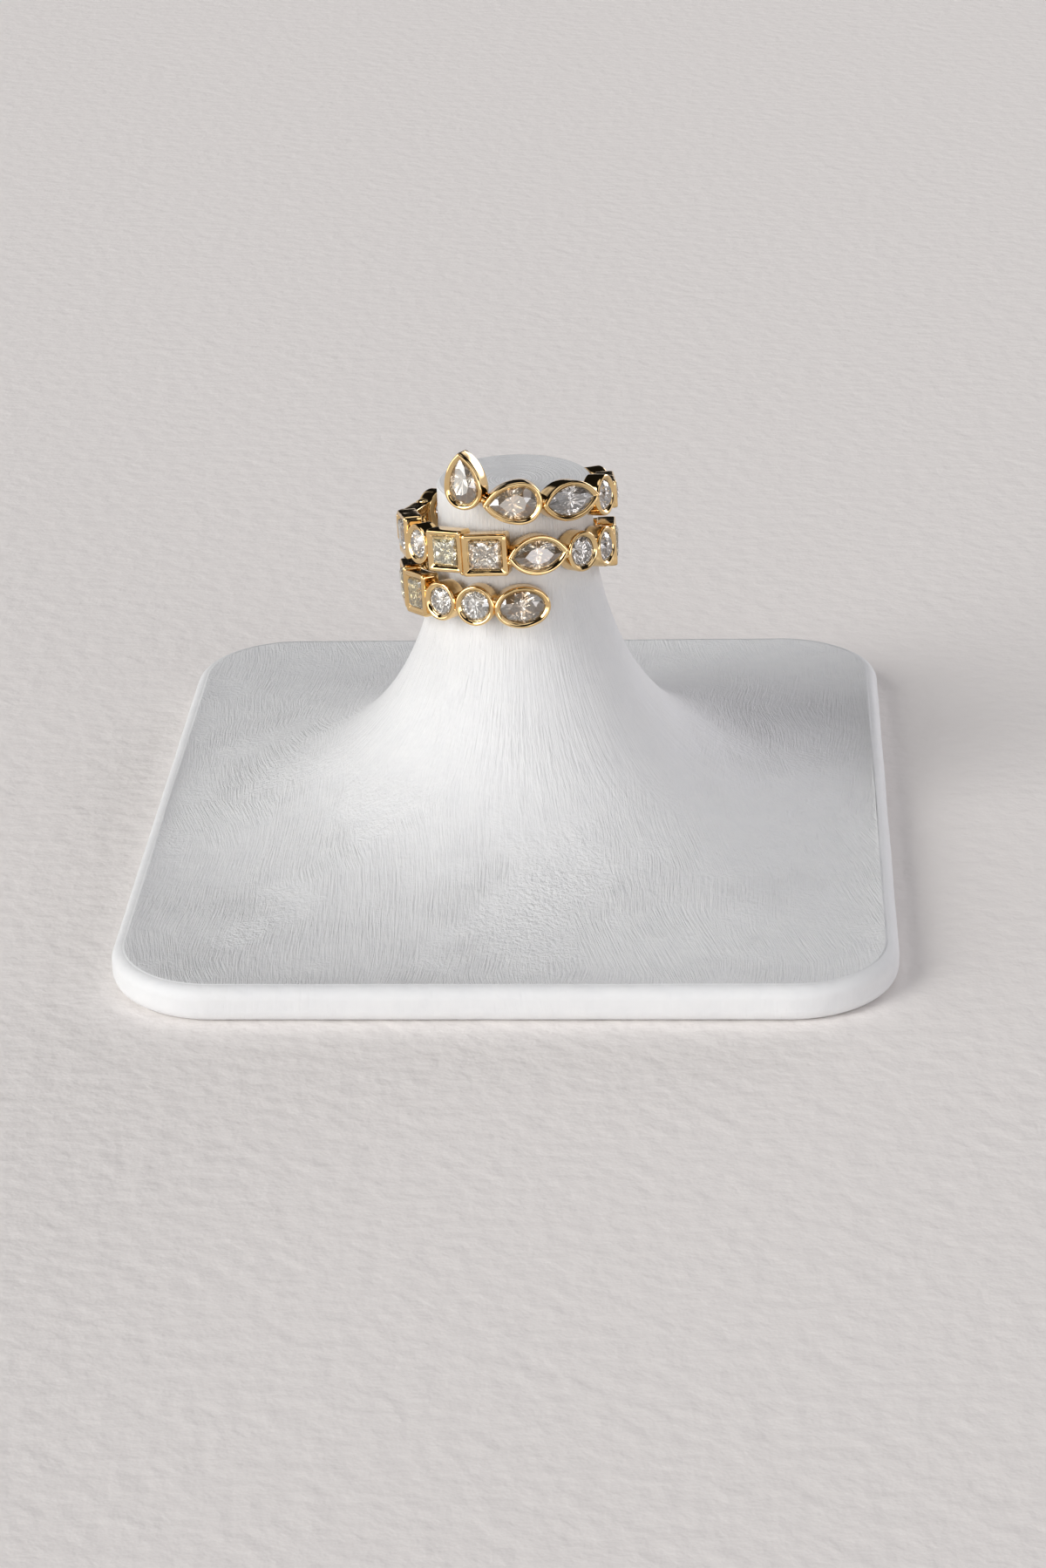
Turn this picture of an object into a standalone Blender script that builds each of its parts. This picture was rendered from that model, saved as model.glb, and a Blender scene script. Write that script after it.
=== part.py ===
"""A spiral ring of bezel-set stones, hanging on the column of a small ring stand.

Metres, +Z up. The origin is the centre of the stand's underside, and the front is -Y.
The spiral starts at its lower end, at the front, and winds clockwise seen from above
while it climbs, up to an upright pear at its upper end.
"""

import math

import bmesh
import bpy
from mathutils import Matrix, Vector

MM = 0.001

# The ring's bore and the gold bezels around it
BORE_RADIUS = 8.95 * MM
BEZEL_DEPTH = 1.85 * MM
RIM_WIDTH = 0.57 * MM
SQUARE_RIM_WIDTH = 0.70 * MM
RIM_CHAMFER = 0.13 * MM
SEAT_DEPTH = 0.46 * MM
LEDGE_WIDTH = 0.40 * MM
LEDGE_DROP = 0.50 * MM
SOLDER_GAP = 0.11 * MM
ROW_GAP = 1.085 * MM
CUTTER_REACH = 0.30 * MM

# The bezel of each cut, outside: its length along the spiral and its width across it
ROUND_SIZE = 4.05 * MM
OVAL_LENGTH = 5.60 * MM
OVAL_WIDTH = 4.20 * MM
SQUARE_LENGTH = 4.40 * MM
SQUARE_WIDTH = 4.30 * MM
BAGUETTE_LENGTH = 5.80 * MM
BAGUETTE_WIDTH = 2.80 * MM
MARQUISE_LENGTH = 6.30 * MM
MARQUISE_WIDTH = 4.00 * MM
PEAR_LENGTH = 5.90 * MM
PEAR_WIDTH = 4.30 * MM
CORNER_RADIUS = 0.35 * MM
SMALLEST_CORNER = 0.05 * MM
END_PEAR_RAISE = 2.00 * MM

# The cut stones
STONE_GAP = 0.06 * MM
CROWN_PROUD = 0.17 * MM
GIRDLE_THICKNESS = 0.10 * MM
TABLE_SHARE = 0.58
PAVILION_SHARE = 0.42

# The stand
PLATE_WIDTH = 75.0 * MM
PLATE_LENGTH = 88.0 * MM
PLATE_THICKNESS = 3.6 * MM
PLATE_CORNER = 10.5 * MM
PLATE_RIM = 1.3 * MM
DISH_DEPTH = 0.60 * MM
DISH_POWER = 6.0
COLUMN_HEIGHT = 38.07 * MM
COLUMN_SLACK = 1.20 * MM
COLUMN_OFFSET = 0.23 * MM
COLUMN_EDGE = 0.45 * MM
FLARE_BELOW_TOP = 3.20 * MM
FLARE_POWER = 2.09
FLARE_BLEND_POWER = 3.0

# How the ring hangs on the column: it leans back and to one side as far as its slack lets it
LEAN_BACK_SHARE = 0.71
LEAN_SIDE_SHARE = 0.235
SHIFT_BACK_SHARE = 0.225
SHIFT_SIDE_SHARE = 0.63
LIFT_ABOVE_SEAT = 1.69 * MM
START_ANGLE = math.radians(10.4)
HANGING_TURNS = 2

# Steps of the meshes
CURVE_STEPS = 20
STONE_STEPS = 16
PLATE_CORNER_STEPS = 6
PLATE_SIDE_STEPS = 9
FLARE_STEPS = 14
EDGE_STEPS = 3
SMOOTH_ANGLE = math.radians(35.0)

COLUMN_RADIUS = BORE_RADIUS - COLUMN_SLACK
FACE_RADIUS = BORE_RADIUS + BEZEL_DEPTH

# cut: length, width
CUT_SIZES = {
    "round": (ROUND_SIZE, ROUND_SIZE),
    "oval": (OVAL_LENGTH, OVAL_WIDTH),
    "square": (SQUARE_LENGTH, SQUARE_WIDTH),
    "baguette": (BAGUETTE_LENGTH, BAGUETTE_WIDTH),
    "marquise": (MARQUISE_LENGTH, MARQUISE_WIDTH),
    "pear": (PEAR_LENGTH, PEAR_WIDTH),
}

# One row for each stone, from the spiral's lower end:
# cut, share of the cut's length, share of its width, stone's colour
STONES = (
    ("oval", 1.00, 1.00, "champagne"),
    ("round", 1.00, 1.00, "white"),
    ("round", 0.96, 0.97, "white"),
    ("square", 0.92, 1.00, "yellow"),
    ("square", 1.00, 1.00, "yellow"),
    ("round", 1.00, 1.00, "white"),
    ("oval", 1.00, 1.00, "champagne"),
    ("round", 1.00, 1.00, "white"),
    ("round", 1.00, 1.00, "grey"),
    ("square", 1.08, 1.00, "yellow"),
    ("round", 1.00, 1.00, "white"),
    ("round", 1.00, 1.00, "grey"),
    ("square", 1.00, 1.00, "yellow"),
    ("round", 1.00, 1.00, "grey"),
    ("round", 1.00, 1.00, "grey"),
    ("marquise", 1.00, 1.00, "grey"),
    ("square", 1.04, 0.98, "champagne"),
    ("square", 0.95, 0.98, "yellow"),
    ("round", 0.95, 0.99, "white"),
    ("square", 1.00, 1.00, "white"),
    ("baguette", 1.00, 1.00, "white"),
    ("round", 1.00, 1.00, "grey"),
    ("square", 0.92, 1.00, "yellow"),
    ("round", 1.00, 1.00, "white"),
    ("square", 0.92, 1.00, "champagne"),
    ("round", 1.00, 1.00, "white"),
    ("round", 1.00, 1.00, "grey"),
    ("baguette", 1.00, 1.00, "white"),
    ("round", 1.01, 1.01, "grey"),
    ("marquise", 1.09, 0.99, "grey"),
    ("pear", 1.00, 1.00, "champagne"),
)
# The upright pear that ends the spiral, with its point up
END_STONE = ("pear", 0.97, 0.93, "champagne")
END_TURN = math.radians(-87.0)

# Base colour of each stone colour
STONE_COLOURS = {
    "white": (0.93, 0.93, 0.92),
    "grey": (0.78, 0.77, 0.79),
    "champagne": (0.90, 0.80, 0.68),
    "yellow": (0.90, 0.88, 0.66),
}
STONE_ROUGHNESS = 0.02
STONE_TRANSMISSION = 0.90
GOLD_COLOUR = (0.86, 0.61, 0.27)
GOLD_ROUGHNESS = 0.12
PAINT_COLOUR = (0.87, 0.87, 0.88)
PAINT_ROUGHNESS = 0.75


def clear_scene():
    """Remove everything that the file opened with."""
    for item in list(bpy.data.objects):
        bpy.data.objects.remove(item, do_unlink=True)
    for collection in list(bpy.data.collections):
        bpy.data.collections.remove(collection)


def new_collection(name):
    collection = bpy.data.collections.new(name)
    bpy.context.scene.collection.children.link(collection)
    return collection


def new_material(name, colour, roughness, metallic=0.0, transmission=0.0):
    material = bpy.data.materials.new(name)
    material.use_nodes = True
    shader = material.node_tree.nodes["Principled BSDF"]
    shader.inputs["Base Color"].default_value = (*colour, 1.0)
    shader.inputs["Roughness"].default_value = roughness
    shader.inputs["Metallic"].default_value = metallic
    shader.inputs["Transmission Weight"].default_value = transmission
    return material


def new_object(name, mesh, collection, material=None, smooth=True):
    if smooth:
        mesh.shade_smooth()
        mesh.set_sharp_from_angle(angle=SMOOTH_ANGLE)
    item = bpy.data.objects.new(name, mesh)
    collection.objects.link(item)
    if material is not None:
        mesh.materials.append(material)
    return item


def arc(centre_x, centre_y, radius, first, last, steps):
    """Points along an arc from the first angle up to, but without, the last one."""
    points = []
    for step in range(steps):
        angle = first + (last - first) * step / steps
        points.append((centre_x + radius * math.cos(angle), centre_y + radius * math.sin(angle)))
    return points


def ellipse_outline(length, width, inset, steps):
    points = []
    for step in range(steps):
        angle = 2.0 * math.pi * step / steps
        points.append(((0.5 * length - inset) * math.cos(angle), (0.5 * width - inset) * math.sin(angle)))
    return points


def rectangle_outline(length, width, inset, steps):
    """A rectangle with rounded corners: a quarter of the steps goes to each corner."""
    radius = max(CORNER_RADIUS - inset, SMALLEST_CORNER)
    reach_x = 0.5 * length - inset - radius
    reach_y = 0.5 * width - inset - radius
    quarter = steps // 4
    points = []
    for corner, (side_x, side_y) in enumerate(((1, 1), (-1, 1), (-1, -1), (1, -1))):
        first = 0.5 * math.pi * corner
        for step in range(quarter):
            angle = first + 0.5 * math.pi * step / (quarter - 1)
            x = side_x * reach_x + radius * math.cos(angle)
            y = side_y * reach_y + radius * math.sin(angle)
            points.append((x, y))
    return points


def marquise_outline(length, width, inset, steps):
    """Two equal arcs that meet in a point at each end."""
    half = 0.5 * length
    rise = 0.5 * width
    radius = (half ** 2 + rise ** 2) / (2.0 * rise)
    below = radius - rise
    spread = math.acos(below / (radius - inset))
    upright = 0.5 * math.pi
    upper = arc(0.0, -below, radius - inset, upright - spread, upright + spread, steps // 2)
    lower = arc(0.0, below, radius - inset, -upright - spread, -upright + spread, steps // 2)
    return upper + lower


def pear_outline(length, width, inset, steps):
    """A half circle at +X, and an arc on each side from it to a point at -X."""
    round_radius = 0.5 * width
    centre_x = 0.5 * length - round_radius
    reach = length - round_radius
    below = (reach ** 2 - round_radius ** 2) / width
    radius = round_radius + below - inset
    spread = math.acos(below / radius)
    upright = 0.5 * math.pi
    quarter = steps // 4
    upper = arc(centre_x, -below, radius, upright, upright + spread, quarter)
    lower = arc(centre_x, below, radius, -upright - spread, -upright, quarter)
    end = arc(centre_x, 0.0, round_radius - inset, -upright, upright, steps - 2 * quarter)
    return upper + lower + end


OUTLINES = {
    "round": ellipse_outline,
    "oval": ellipse_outline,
    "square": rectangle_outline,
    "baguette": rectangle_outline,
    "marquise": marquise_outline,
    "pear": pear_outline,
}


def loft(name, rings):
    """A closed solid through rings of points, all with as many points, from its back to its front."""
    shape = bmesh.new()
    loops = [[shape.verts.new(point) for point in ring] for ring in rings]
    count = len(loops[0])
    for lower, upper in zip(loops, loops[1:]):
        for index in range(count):
            following = (index + 1) % count
            shape.faces.new((lower[index], lower[following], upper[following], upper[index]))
    shape.faces.new(list(reversed(loops[0])))
    shape.faces.new(loops[-1])
    mesh = bpy.data.meshes.new(name)
    shape.to_mesh(mesh)
    shape.free()
    return mesh


def flat_ring(outline, height):
    return [(x, y, height) for x, y in outline]


def stone_size(row):
    """Outer length and width of a row's bezel."""
    cut, length_share, width_share, _ = row
    length, width = CUT_SIZES[cut]
    return length * length_share, width * width_share


def rim_width(cut):
    return SQUARE_RIM_WIDTH if cut == "square" else RIM_WIDTH


def bezel_mesh(row):
    """The solid cup of one bezel, its face at z = 0 and its back at -BEZEL_DEPTH."""
    outline = OUTLINES[row[0]]
    length, width = stone_size(row)
    side = outline(length, width, 0.0, CURVE_STEPS)
    face = outline(length, width, RIM_CHAMFER, CURVE_STEPS)
    rings = [flat_ring(side, -BEZEL_DEPTH), flat_ring(side, -RIM_CHAMFER), flat_ring(face, 0.0)]
    return loft("bezel", rings)


def seat_mesh(row):
    """What is cut out of a bezel: the stone's pocket, its sloping seat and the open back."""
    outline = OUTLINES[row[0]]
    length, width = stone_size(row)
    rim = rim_width(row[0])
    pocket = outline(length, width, rim, CURVE_STEPS)
    window = outline(length, width, rim + LEDGE_WIDTH, CURVE_STEPS)
    rings = [
        flat_ring(window, -BEZEL_DEPTH - CUTTER_REACH),
        flat_ring(window, -SEAT_DEPTH - LEDGE_DROP),
        flat_ring(pocket, -SEAT_DEPTH),
        flat_ring(pocket, CUTTER_REACH),
    ]
    return loft("seat", rings)


def stone_mesh(name, row):
    """A cut stone: a table, a crown of triangles, a girdle and a pavilion down to its culet."""
    outline = OUTLINES[row[0]]
    length, width = stone_size(row)
    inset = rim_width(row[0]) + STONE_GAP
    girdle = outline(length, width, inset, STONE_STEPS)
    girdle_low = -SEAT_DEPTH + STONE_GAP
    girdle_high = girdle_low + GIRDLE_THICKNESS
    culet = girdle_low - PAVILION_SHARE * (width - 2.0 * inset)
    shape = bmesh.new()
    low = [shape.verts.new((x, y, girdle_low)) for x, y in girdle]
    high = [shape.verts.new((x, y, girdle_high)) for x, y in girdle]
    corners = girdle[::2]
    table = [shape.verts.new((x * TABLE_SHARE, y * TABLE_SHARE, CROWN_PROUD)) for x, y in corners]
    point = shape.verts.new((0.0, 0.0, culet))
    count = len(girdle)
    for index in range(count):
        following = (index + 1) % count
        shape.faces.new((low[index], low[following], high[following], high[index]))
        shape.faces.new((point, low[following], low[index]))
    for index in range(len(table)):
        following = (index + 1) % len(table)
        middle = 2 * index + 1
        after = (2 * index + 2) % count
        shape.faces.new((high[2 * index], high[middle], table[index]))
        shape.faces.new((high[middle], table[following], table[index]))
        shape.faces.new((high[middle], high[after], table[following]))
    shape.faces.new(table)
    mesh = bpy.data.meshes.new(name)
    shape.to_mesh(mesh)
    shape.free()
    return mesh


def flare_height(radius):
    """Height of the stand's top surface at a distance from the column's axis."""
    outer = 0.5 * PLATE_WIDTH - PLATE_RIM
    across = (outer - radius) / (outer - COLUMN_RADIUS)
    drop = (1.0 - across ** FLARE_POWER) ** (1.0 / FLARE_POWER)
    flare_top = COLUMN_HEIGHT - FLARE_BELOW_TOP
    dish_floor = PLATE_THICKNESS - DISH_DEPTH
    upturn = DISH_DEPTH * (1.0 - across) ** DISH_POWER
    return flare_top - (flare_top - dish_floor) * drop + upturn


def turn_rise():
    """How far one turn of the spiral climbs: its tallest row and the gap above it."""
    return max(stone_size(row)[1] for row in STONES) + ROW_GAP


def ring_lean():
    """The turns' lean: the slack across the height of the turns that hang on the column."""
    climb = HANGING_TURNS * turn_rise()
    back = math.atan2(LEAN_BACK_SHARE * 2.0 * COLUMN_SLACK, climb)
    side = math.atan2(LEAN_SIDE_SHARE * 2.0 * COLUMN_SLACK, climb)
    return Matrix.Rotation(-side, 3, "Y") @ Matrix.Rotation(-back, 3, "X")


def ring_centre():
    """Where the spiral's axis passes its first stone's level, on the seat that the flare makes."""
    across = COLUMN_OFFSET - SHIFT_SIDE_SHARE * COLUMN_SLACK
    back = SHIFT_BACK_SHARE * COLUMN_SLACK
    return Vector((across, back, flare_height(BORE_RADIUS) + LIFT_ABOVE_SEAT))


def half_angle(extent):
    """Half of the angle that a bezel takes up around the spiral, with its share of solder."""
    return math.atan2(0.5 * (extent + SOLDER_GAP), FACE_RADIUS)


def frame_on_spiral(angle, raised=0.0):
    """Placement of a bezel: X along the spiral, Y up across it, Z outward, origin in its face."""
    lean = ring_lean()
    along = lean @ Vector((math.cos(angle), math.sin(angle), 0.0))
    outward = lean @ Vector((math.sin(angle), -math.cos(angle), 0.0))
    upward = lean @ Vector((0.0, 0.0, 1.0))
    climb = Vector((0.0, 0.0, -turn_rise() * angle / (2.0 * math.pi)))
    place = ring_centre() + FACE_RADIUS * outward + climb + raised * upward
    frame = Matrix((along, upward, outward)).transposed().to_4x4()
    return Matrix.Translation(place) @ frame


def spiral_places():
    """Each stone's row with its placement, one after the other down the spiral's angle."""
    places = []
    angle = START_ANGLE
    reach = 0.0
    for row in STONES:
        half = half_angle(stone_size(row)[0])
        if places:
            angle -= reach + half
        places.append((row, frame_on_spiral(angle)))
        reach = half
    angle -= reach + half_angle(stone_size(END_STONE)[1])
    upright = Matrix.Rotation(END_TURN, 4, "Z")
    places.append((END_STONE, frame_on_spiral(angle, END_PEAR_RAISE) @ upright))
    return places


def add_boolean(target, operation, operands):
    modifier = target.modifiers.new(operation.title(), "BOOLEAN")
    modifier.operation = operation
    modifier.operand_type = "COLLECTION"
    modifier.collection = operands
    modifier.solver = "EXACT"


def make_gold_setting(parts, bezels, seats, places):
    """All the bezels soldered into one piece, with their seats cut out."""
    gold = new_material("polished_gold", GOLD_COLOUR, GOLD_ROUGHNESS, metallic=1.0)
    setting = None
    for number, (row, placement) in enumerate(places, start=1):
        if setting is None:
            setting = new_object("gold_setting", bezel_mesh(row), parts, gold)
            setting.matrix_world = placement
        else:
            bezel = new_object(f"bezel_{number:02d}", bezel_mesh(row), bezels)
            bezel.matrix_world = placement
        seat = new_object(f"seat_{number:02d}", seat_mesh(row), seats)
        seat.matrix_world = placement
    for operand in list(bezels.objects) + list(seats.objects):
        operand.hide_render = True
        operand.display_type = "WIRE"
    add_boolean(setting, "UNION", bezels)
    add_boolean(setting, "DIFFERENCE", seats)


def make_stones(parts, places):
    for number, (row, placement) in enumerate(places, start=1):
        name = f"{row[0]}_stone_{number:02d}"
        look = new_material(name, STONE_COLOURS[row[3]], STONE_ROUGHNESS, transmission=STONE_TRANSMISSION)
        stone = new_object(name, stone_mesh(name, row), parts, look, smooth=False)
        stone.matrix_world = placement


def plate_outline(inset):
    """The plate's rounded rectangle, with even steps on its sides and round its corners."""
    radius = PLATE_CORNER - inset
    reach_x = 0.5 * PLATE_WIDTH - PLATE_CORNER
    reach_y = 0.5 * PLATE_LENGTH - PLATE_CORNER
    corners = []
    for number, (side_x, side_y) in enumerate(((1, 1), (-1, 1), (-1, -1), (1, -1))):
        for step in range(PLATE_CORNER_STEPS + 1):
            angle = 0.5 * math.pi * (number + step / PLATE_CORNER_STEPS)
            x = side_x * reach_x + radius * math.cos(angle)
            y = side_y * reach_y + radius * math.sin(angle)
            corners.append(Vector((x, y)))
    points = []
    for index, point in enumerate(corners):
        points.append(point)
        if (index + 1) % (PLATE_CORNER_STEPS + 1) == 0:
            following = corners[(index + 1) % len(corners)]
            for step in range(1, PLATE_SIDE_STEPS):
                points.append(point.lerp(following, step / PLATE_SIDE_STEPS))
    return points


def flare_section(inner_share):
    """One ring of the stand's sweep, from the plate's outline (0) to the column's circle (1)."""
    plate = plate_outline(PLATE_RIM)
    turn = 0.5 * math.pi * (1.0 - inner_share)
    outer = 0.5 * PLATE_WIDTH - PLATE_RIM
    radius = outer - (outer - COLUMN_RADIUS) * math.cos(turn) ** (2.0 / FLARE_POWER)
    spread = (radius - COLUMN_RADIUS) / (outer - COLUMN_RADIUS)
    blend = spread ** FLARE_BLEND_POWER
    height = flare_height(radius)
    ring = []
    for point in plate:
        circle = point.normalized() * radius
        x, y = circle.lerp(point, blend)
        ring.append((x + COLUMN_OFFSET * (1.0 - blend), y, height))
    return ring


def column_ring(radius, height):
    ring = []
    for point in plate_outline(PLATE_RIM):
        x, y = point.normalized() * radius
        ring.append((x + COLUMN_OFFSET, y, height))
    return ring


def stand_rings():
    """The stand from its underside up: the plate's rounded rim, the sweep, the column's soft edge."""
    rings = []
    for step in range(EDGE_STEPS + 1):
        angle = 0.5 * math.pi * step / EDGE_STEPS
        inset = PLATE_RIM * (1.0 - math.sin(angle))
        height = PLATE_RIM * (1.0 - math.cos(angle))
        rings.append([(x, y, height) for x, y in plate_outline(inset)])
    for step in range(EDGE_STEPS):
        angle = 0.5 * math.pi * step / EDGE_STEPS
        inset = PLATE_RIM * (1.0 - math.cos(angle))
        height = PLATE_THICKNESS - PLATE_RIM * (1.0 - math.sin(angle))
        rings.append([(x, y, height) for x, y in plate_outline(inset)])
    for step in range(FLARE_STEPS + 1):
        rings.append(flare_section(step / FLARE_STEPS))
    for step in range(EDGE_STEPS + 1):
        angle = 0.5 * math.pi * step / EDGE_STEPS
        radius = COLUMN_RADIUS - COLUMN_EDGE * (1.0 - math.cos(angle))
        height = COLUMN_HEIGHT - COLUMN_EDGE * (1.0 - math.sin(angle))
        rings.append(column_ring(radius, height))
    return rings


def make_ring_stand(parts):
    paint = new_material("brushed_white_paint", PAINT_COLOUR, PAINT_ROUGHNESS)
    new_object("ring_stand", loft("ring_stand", stand_rings()), parts, paint)


def main():
    clear_scene()
    parts = new_collection("spiral_ring_on_stand")
    bezels = new_collection("bezels_to_join")
    seats = new_collection("seat_cutters")
    places = spiral_places()
    make_ring_stand(parts)
    make_gold_setting(parts, bezels, seats, places)
    make_stones(parts, places)


main()
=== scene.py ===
# %% [markdown]
# # A spiral ring of set stones on a painted ring stand
# A ring like this is a row of small gold cups, each soldered to the next and each holding one
# cut stone. The row winds round the finger a little more than twice, so it shows three rows in
# front, and it ends in an upright pear. Here it hangs on the column of a small stand that is
# brushed over with thick white paint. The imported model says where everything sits, and this
# lesson gives it the surfaces that a camera would see.

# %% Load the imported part
import math

import bpy
import numpy as np
from mathutils import Matrix


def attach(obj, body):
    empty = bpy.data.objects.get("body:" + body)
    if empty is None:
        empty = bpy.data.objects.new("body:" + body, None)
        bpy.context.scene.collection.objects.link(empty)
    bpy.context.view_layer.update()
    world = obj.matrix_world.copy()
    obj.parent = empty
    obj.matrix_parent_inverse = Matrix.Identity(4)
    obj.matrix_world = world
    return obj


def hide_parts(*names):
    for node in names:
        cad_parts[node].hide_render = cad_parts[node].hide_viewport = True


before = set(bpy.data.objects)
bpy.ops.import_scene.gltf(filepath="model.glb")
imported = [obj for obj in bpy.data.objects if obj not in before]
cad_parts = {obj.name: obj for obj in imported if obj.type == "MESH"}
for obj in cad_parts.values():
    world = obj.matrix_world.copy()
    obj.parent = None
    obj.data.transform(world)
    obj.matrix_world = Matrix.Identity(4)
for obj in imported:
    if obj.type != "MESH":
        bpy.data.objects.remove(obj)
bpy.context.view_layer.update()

MM = 0.001
print("nodes loaded:", len(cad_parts))

# %% [markdown]
# ## The sizes of the ring
# The cups follow the same spiral as the solids, so the same few sizes place them: the bore, the
# depth of a cup, the climb of one turn, and how far the ring leans on the column. Each cut has a
# length along the spiral and a width across it, both measured over the gold.

# %% Sizes of the ring, in millimetres
BORE_RADIUS = 8.95
CUP_DEPTH = 1.85
FACE_RADIUS = BORE_RADIUS + CUP_DEPTH
RIM_WIDTH = 0.57
SQUARE_RIM_WIDTH = 0.70
LEDGE_WIDTH = 0.40
SOLDER_GAP = 0.11
ROW_GAP = 1.085
CROWN_PROUD = 0.17
CORNER_RADIUS = 0.35
CUT_SIZES = {
    "round": (4.05, 4.05),
    "oval": (5.60, 4.20),
    "square": (4.40, 4.30),
    "baguette": (5.80, 2.80),
    "marquise": (6.30, 4.00),
    "pear": (5.90, 4.30),
}
# cut and tint, then the shares of the cut's length and width where they aren't 1
STONES = [
    ("oval", "champagne"),
    ("round", "white"),
    ("round", "white", 0.96, 0.97),
    ("square", "yellow", 0.92, 1.00),
    ("square", "yellow"),
    ("round", "white"),
    ("oval", "champagne"),
    ("round", "white"),
    ("round", "grey"),
    ("square", "yellow", 1.08, 1.00),
    ("round", "white"),
    ("round", "grey"),
    ("square", "yellow"),
    ("round", "grey"),
    ("round", "grey"),
    ("marquise", "champagne"),
    ("square", "champagne", 1.04, 0.98),
    ("square", "yellow", 0.95, 0.98),
    ("round", "white", 0.95, 0.99),
    ("square", "white"),
    ("baguette", "white"),
    ("round", "grey"),
    ("square", "yellow", 0.92, 1.00),
    ("round", "white"),
    ("square", "champagne", 0.92, 1.00),
    ("round", "white"),
    ("round", "grey"),
    ("baguette", "white"),
    ("round", "grey", 1.01, 1.01),
    ("marquise", "grey", 1.09, 0.99),
    ("pear", "champagne"),
    ("pear", "champagne", 0.97, 0.93),
]
END_RAISE = 2.00
END_TURN = math.radians(-87.0)
START_ANGLE = math.radians(10.4)
print("stones:", len(STONES))

# %% [markdown]
# ## The sizes of the stand
# The stand is a plate with rounded corners that sweeps up into a round column. The sweep is a
# quarter of a superellipse, and the plate is a little dished, so it rises again at its rim.

# %% Sizes of the stand, in millimetres
PLATE_WIDTH = 75.0
PLATE_LENGTH = 88.0
PLATE_THICKNESS = 3.6
PLATE_CORNER = 10.5
PLATE_RIM = 1.3
DISH_DEPTH = 0.60
DISH_POWER = 6.0
COLUMN_HEIGHT = 38.07
COLUMN_SLACK = 1.20
COLUMN_RADIUS = BORE_RADIUS - COLUMN_SLACK
COLUMN_OFFSET = 0.23
COLUMN_EDGE = 0.45
FLARE_TOP = COLUMN_HEIGHT - 3.20
FLARE_POWER = 2.09
FLARE_BLEND_POWER = 3.0
FLARE_OUTER = 0.5 * PLATE_WIDTH - PLATE_RIM
print("column radius:", COLUMN_RADIUS)

# %% [markdown]
# ## Where each cup sits
# A cup's own axes are X along the spiral, Y up across it and Z out of its face. The ring leans
# back and a little to one side, as far as the slack round the column lets it, so every cup gets
# that same lean. From one cup to the next, the angle grows by half of each cup's width as it is
# seen from the axis.

# %% Place the cups along the spiral
# How far the ring leans and lies off the column's middle, as shares of the slack round it
LEAN_BACK_SHARE = 0.71
LEAN_SIDE_SHARE = 0.235
SHIFT_SHARES = (-0.63, 0.225)
RING_LIFT = 1.69


def flare_height(radius):
    """Height of the stand's top at a distance from the column's axis: a quarter of a superellipse
    from the column down to the dish, and a small upturn towards the plate's rim."""
    across = (FLARE_OUTER - radius) / (FLARE_OUTER - COLUMN_RADIUS)
    drop = np.maximum(1.0 - across**FLARE_POWER, 0.0) ** (1.0 / FLARE_POWER)
    floor = PLATE_THICKNESS - DISH_DEPTH
    return FLARE_TOP - (FLARE_TOP - floor) * drop + DISH_DEPTH * (1.0 - across) ** DISH_POWER


def stone_size(row):
    """Length and width over the gold: the cut's own size times this stone's two shares."""
    cut, _, *shares = row
    return np.array(CUT_SIZES[cut]) * (shares or (1.0, 1.0))


def half_angle(extent):
    """Half the angle that a cup takes up: the arc tangent of half its width over the radius."""
    return math.atan2(0.5 * (extent + SOLDER_GAP), FACE_RADIUS)


TURN_RISE = max(stone_size(row)[1] for row in STONES[:-1]) + ROW_GAP
LEAN_BACK = math.atan2(LEAN_BACK_SHARE * 2.0 * COLUMN_SLACK, 2.0 * TURN_RISE)
LEAN_SIDE = math.atan2(LEAN_SIDE_SHARE * 2.0 * COLUMN_SLACK, 2.0 * TURN_RISE)
LEAN = np.array(Matrix.Rotation(-LEAN_SIDE, 3, "Y") @ Matrix.Rotation(-LEAN_BACK, 3, "X"))
RING_CENTRE = np.array(
    [
        COLUMN_OFFSET + SHIFT_SHARES[0] * COLUMN_SLACK,
        SHIFT_SHARES[1] * COLUMN_SLACK,
        float(flare_height(BORE_RADIUS)) + RING_LIFT,
    ]
)


def cup_frame(angle, raised=0.0, turn=0.0):
    """A cup's axes and place at an angle of the spiral, as columns: along, up, out, origin. The
    place is the face's radius out, and lower by the turn's rise times the share of a turn."""
    along = LEAN @ np.array([math.cos(angle), math.sin(angle), 0.0])
    out = LEAN @ np.array([math.sin(angle), -math.cos(angle), 0.0])
    up = LEAN @ np.array([0.0, 0.0, 1.0])
    climb = np.array([0.0, 0.0, -TURN_RISE * angle / (2.0 * math.pi)])
    place = RING_CENTRE + FACE_RADIUS * out + climb + raised * up
    turned_along = math.cos(turn) * along + math.sin(turn) * up
    turned_up = -math.sin(turn) * along + math.cos(turn) * up
    return np.stack([turned_along, turned_up, out, place], axis=1)


def cup_frames():
    """One frame for each stone, from the spiral's lower end to the upright pear. Each angle is the
    last one less the half angles of both neighbours."""
    frames = []
    angle = START_ANGLE
    reach = 0.0
    for row in STONES[:-1]:
        half = half_angle(stone_size(row)[0])
        if frames:
            angle -= reach + half
        frames.append(cup_frame(angle))
        reach = half
    angle -= reach + half_angle(stone_size(STONES[-1])[1])
    frames.append(cup_frame(angle, END_RAISE, END_TURN))
    return frames


FRAMES = cup_frames()
print("turn rise:", round(TURN_RISE, 3), "ring centre:", RING_CENTRE.round(3))

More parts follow.
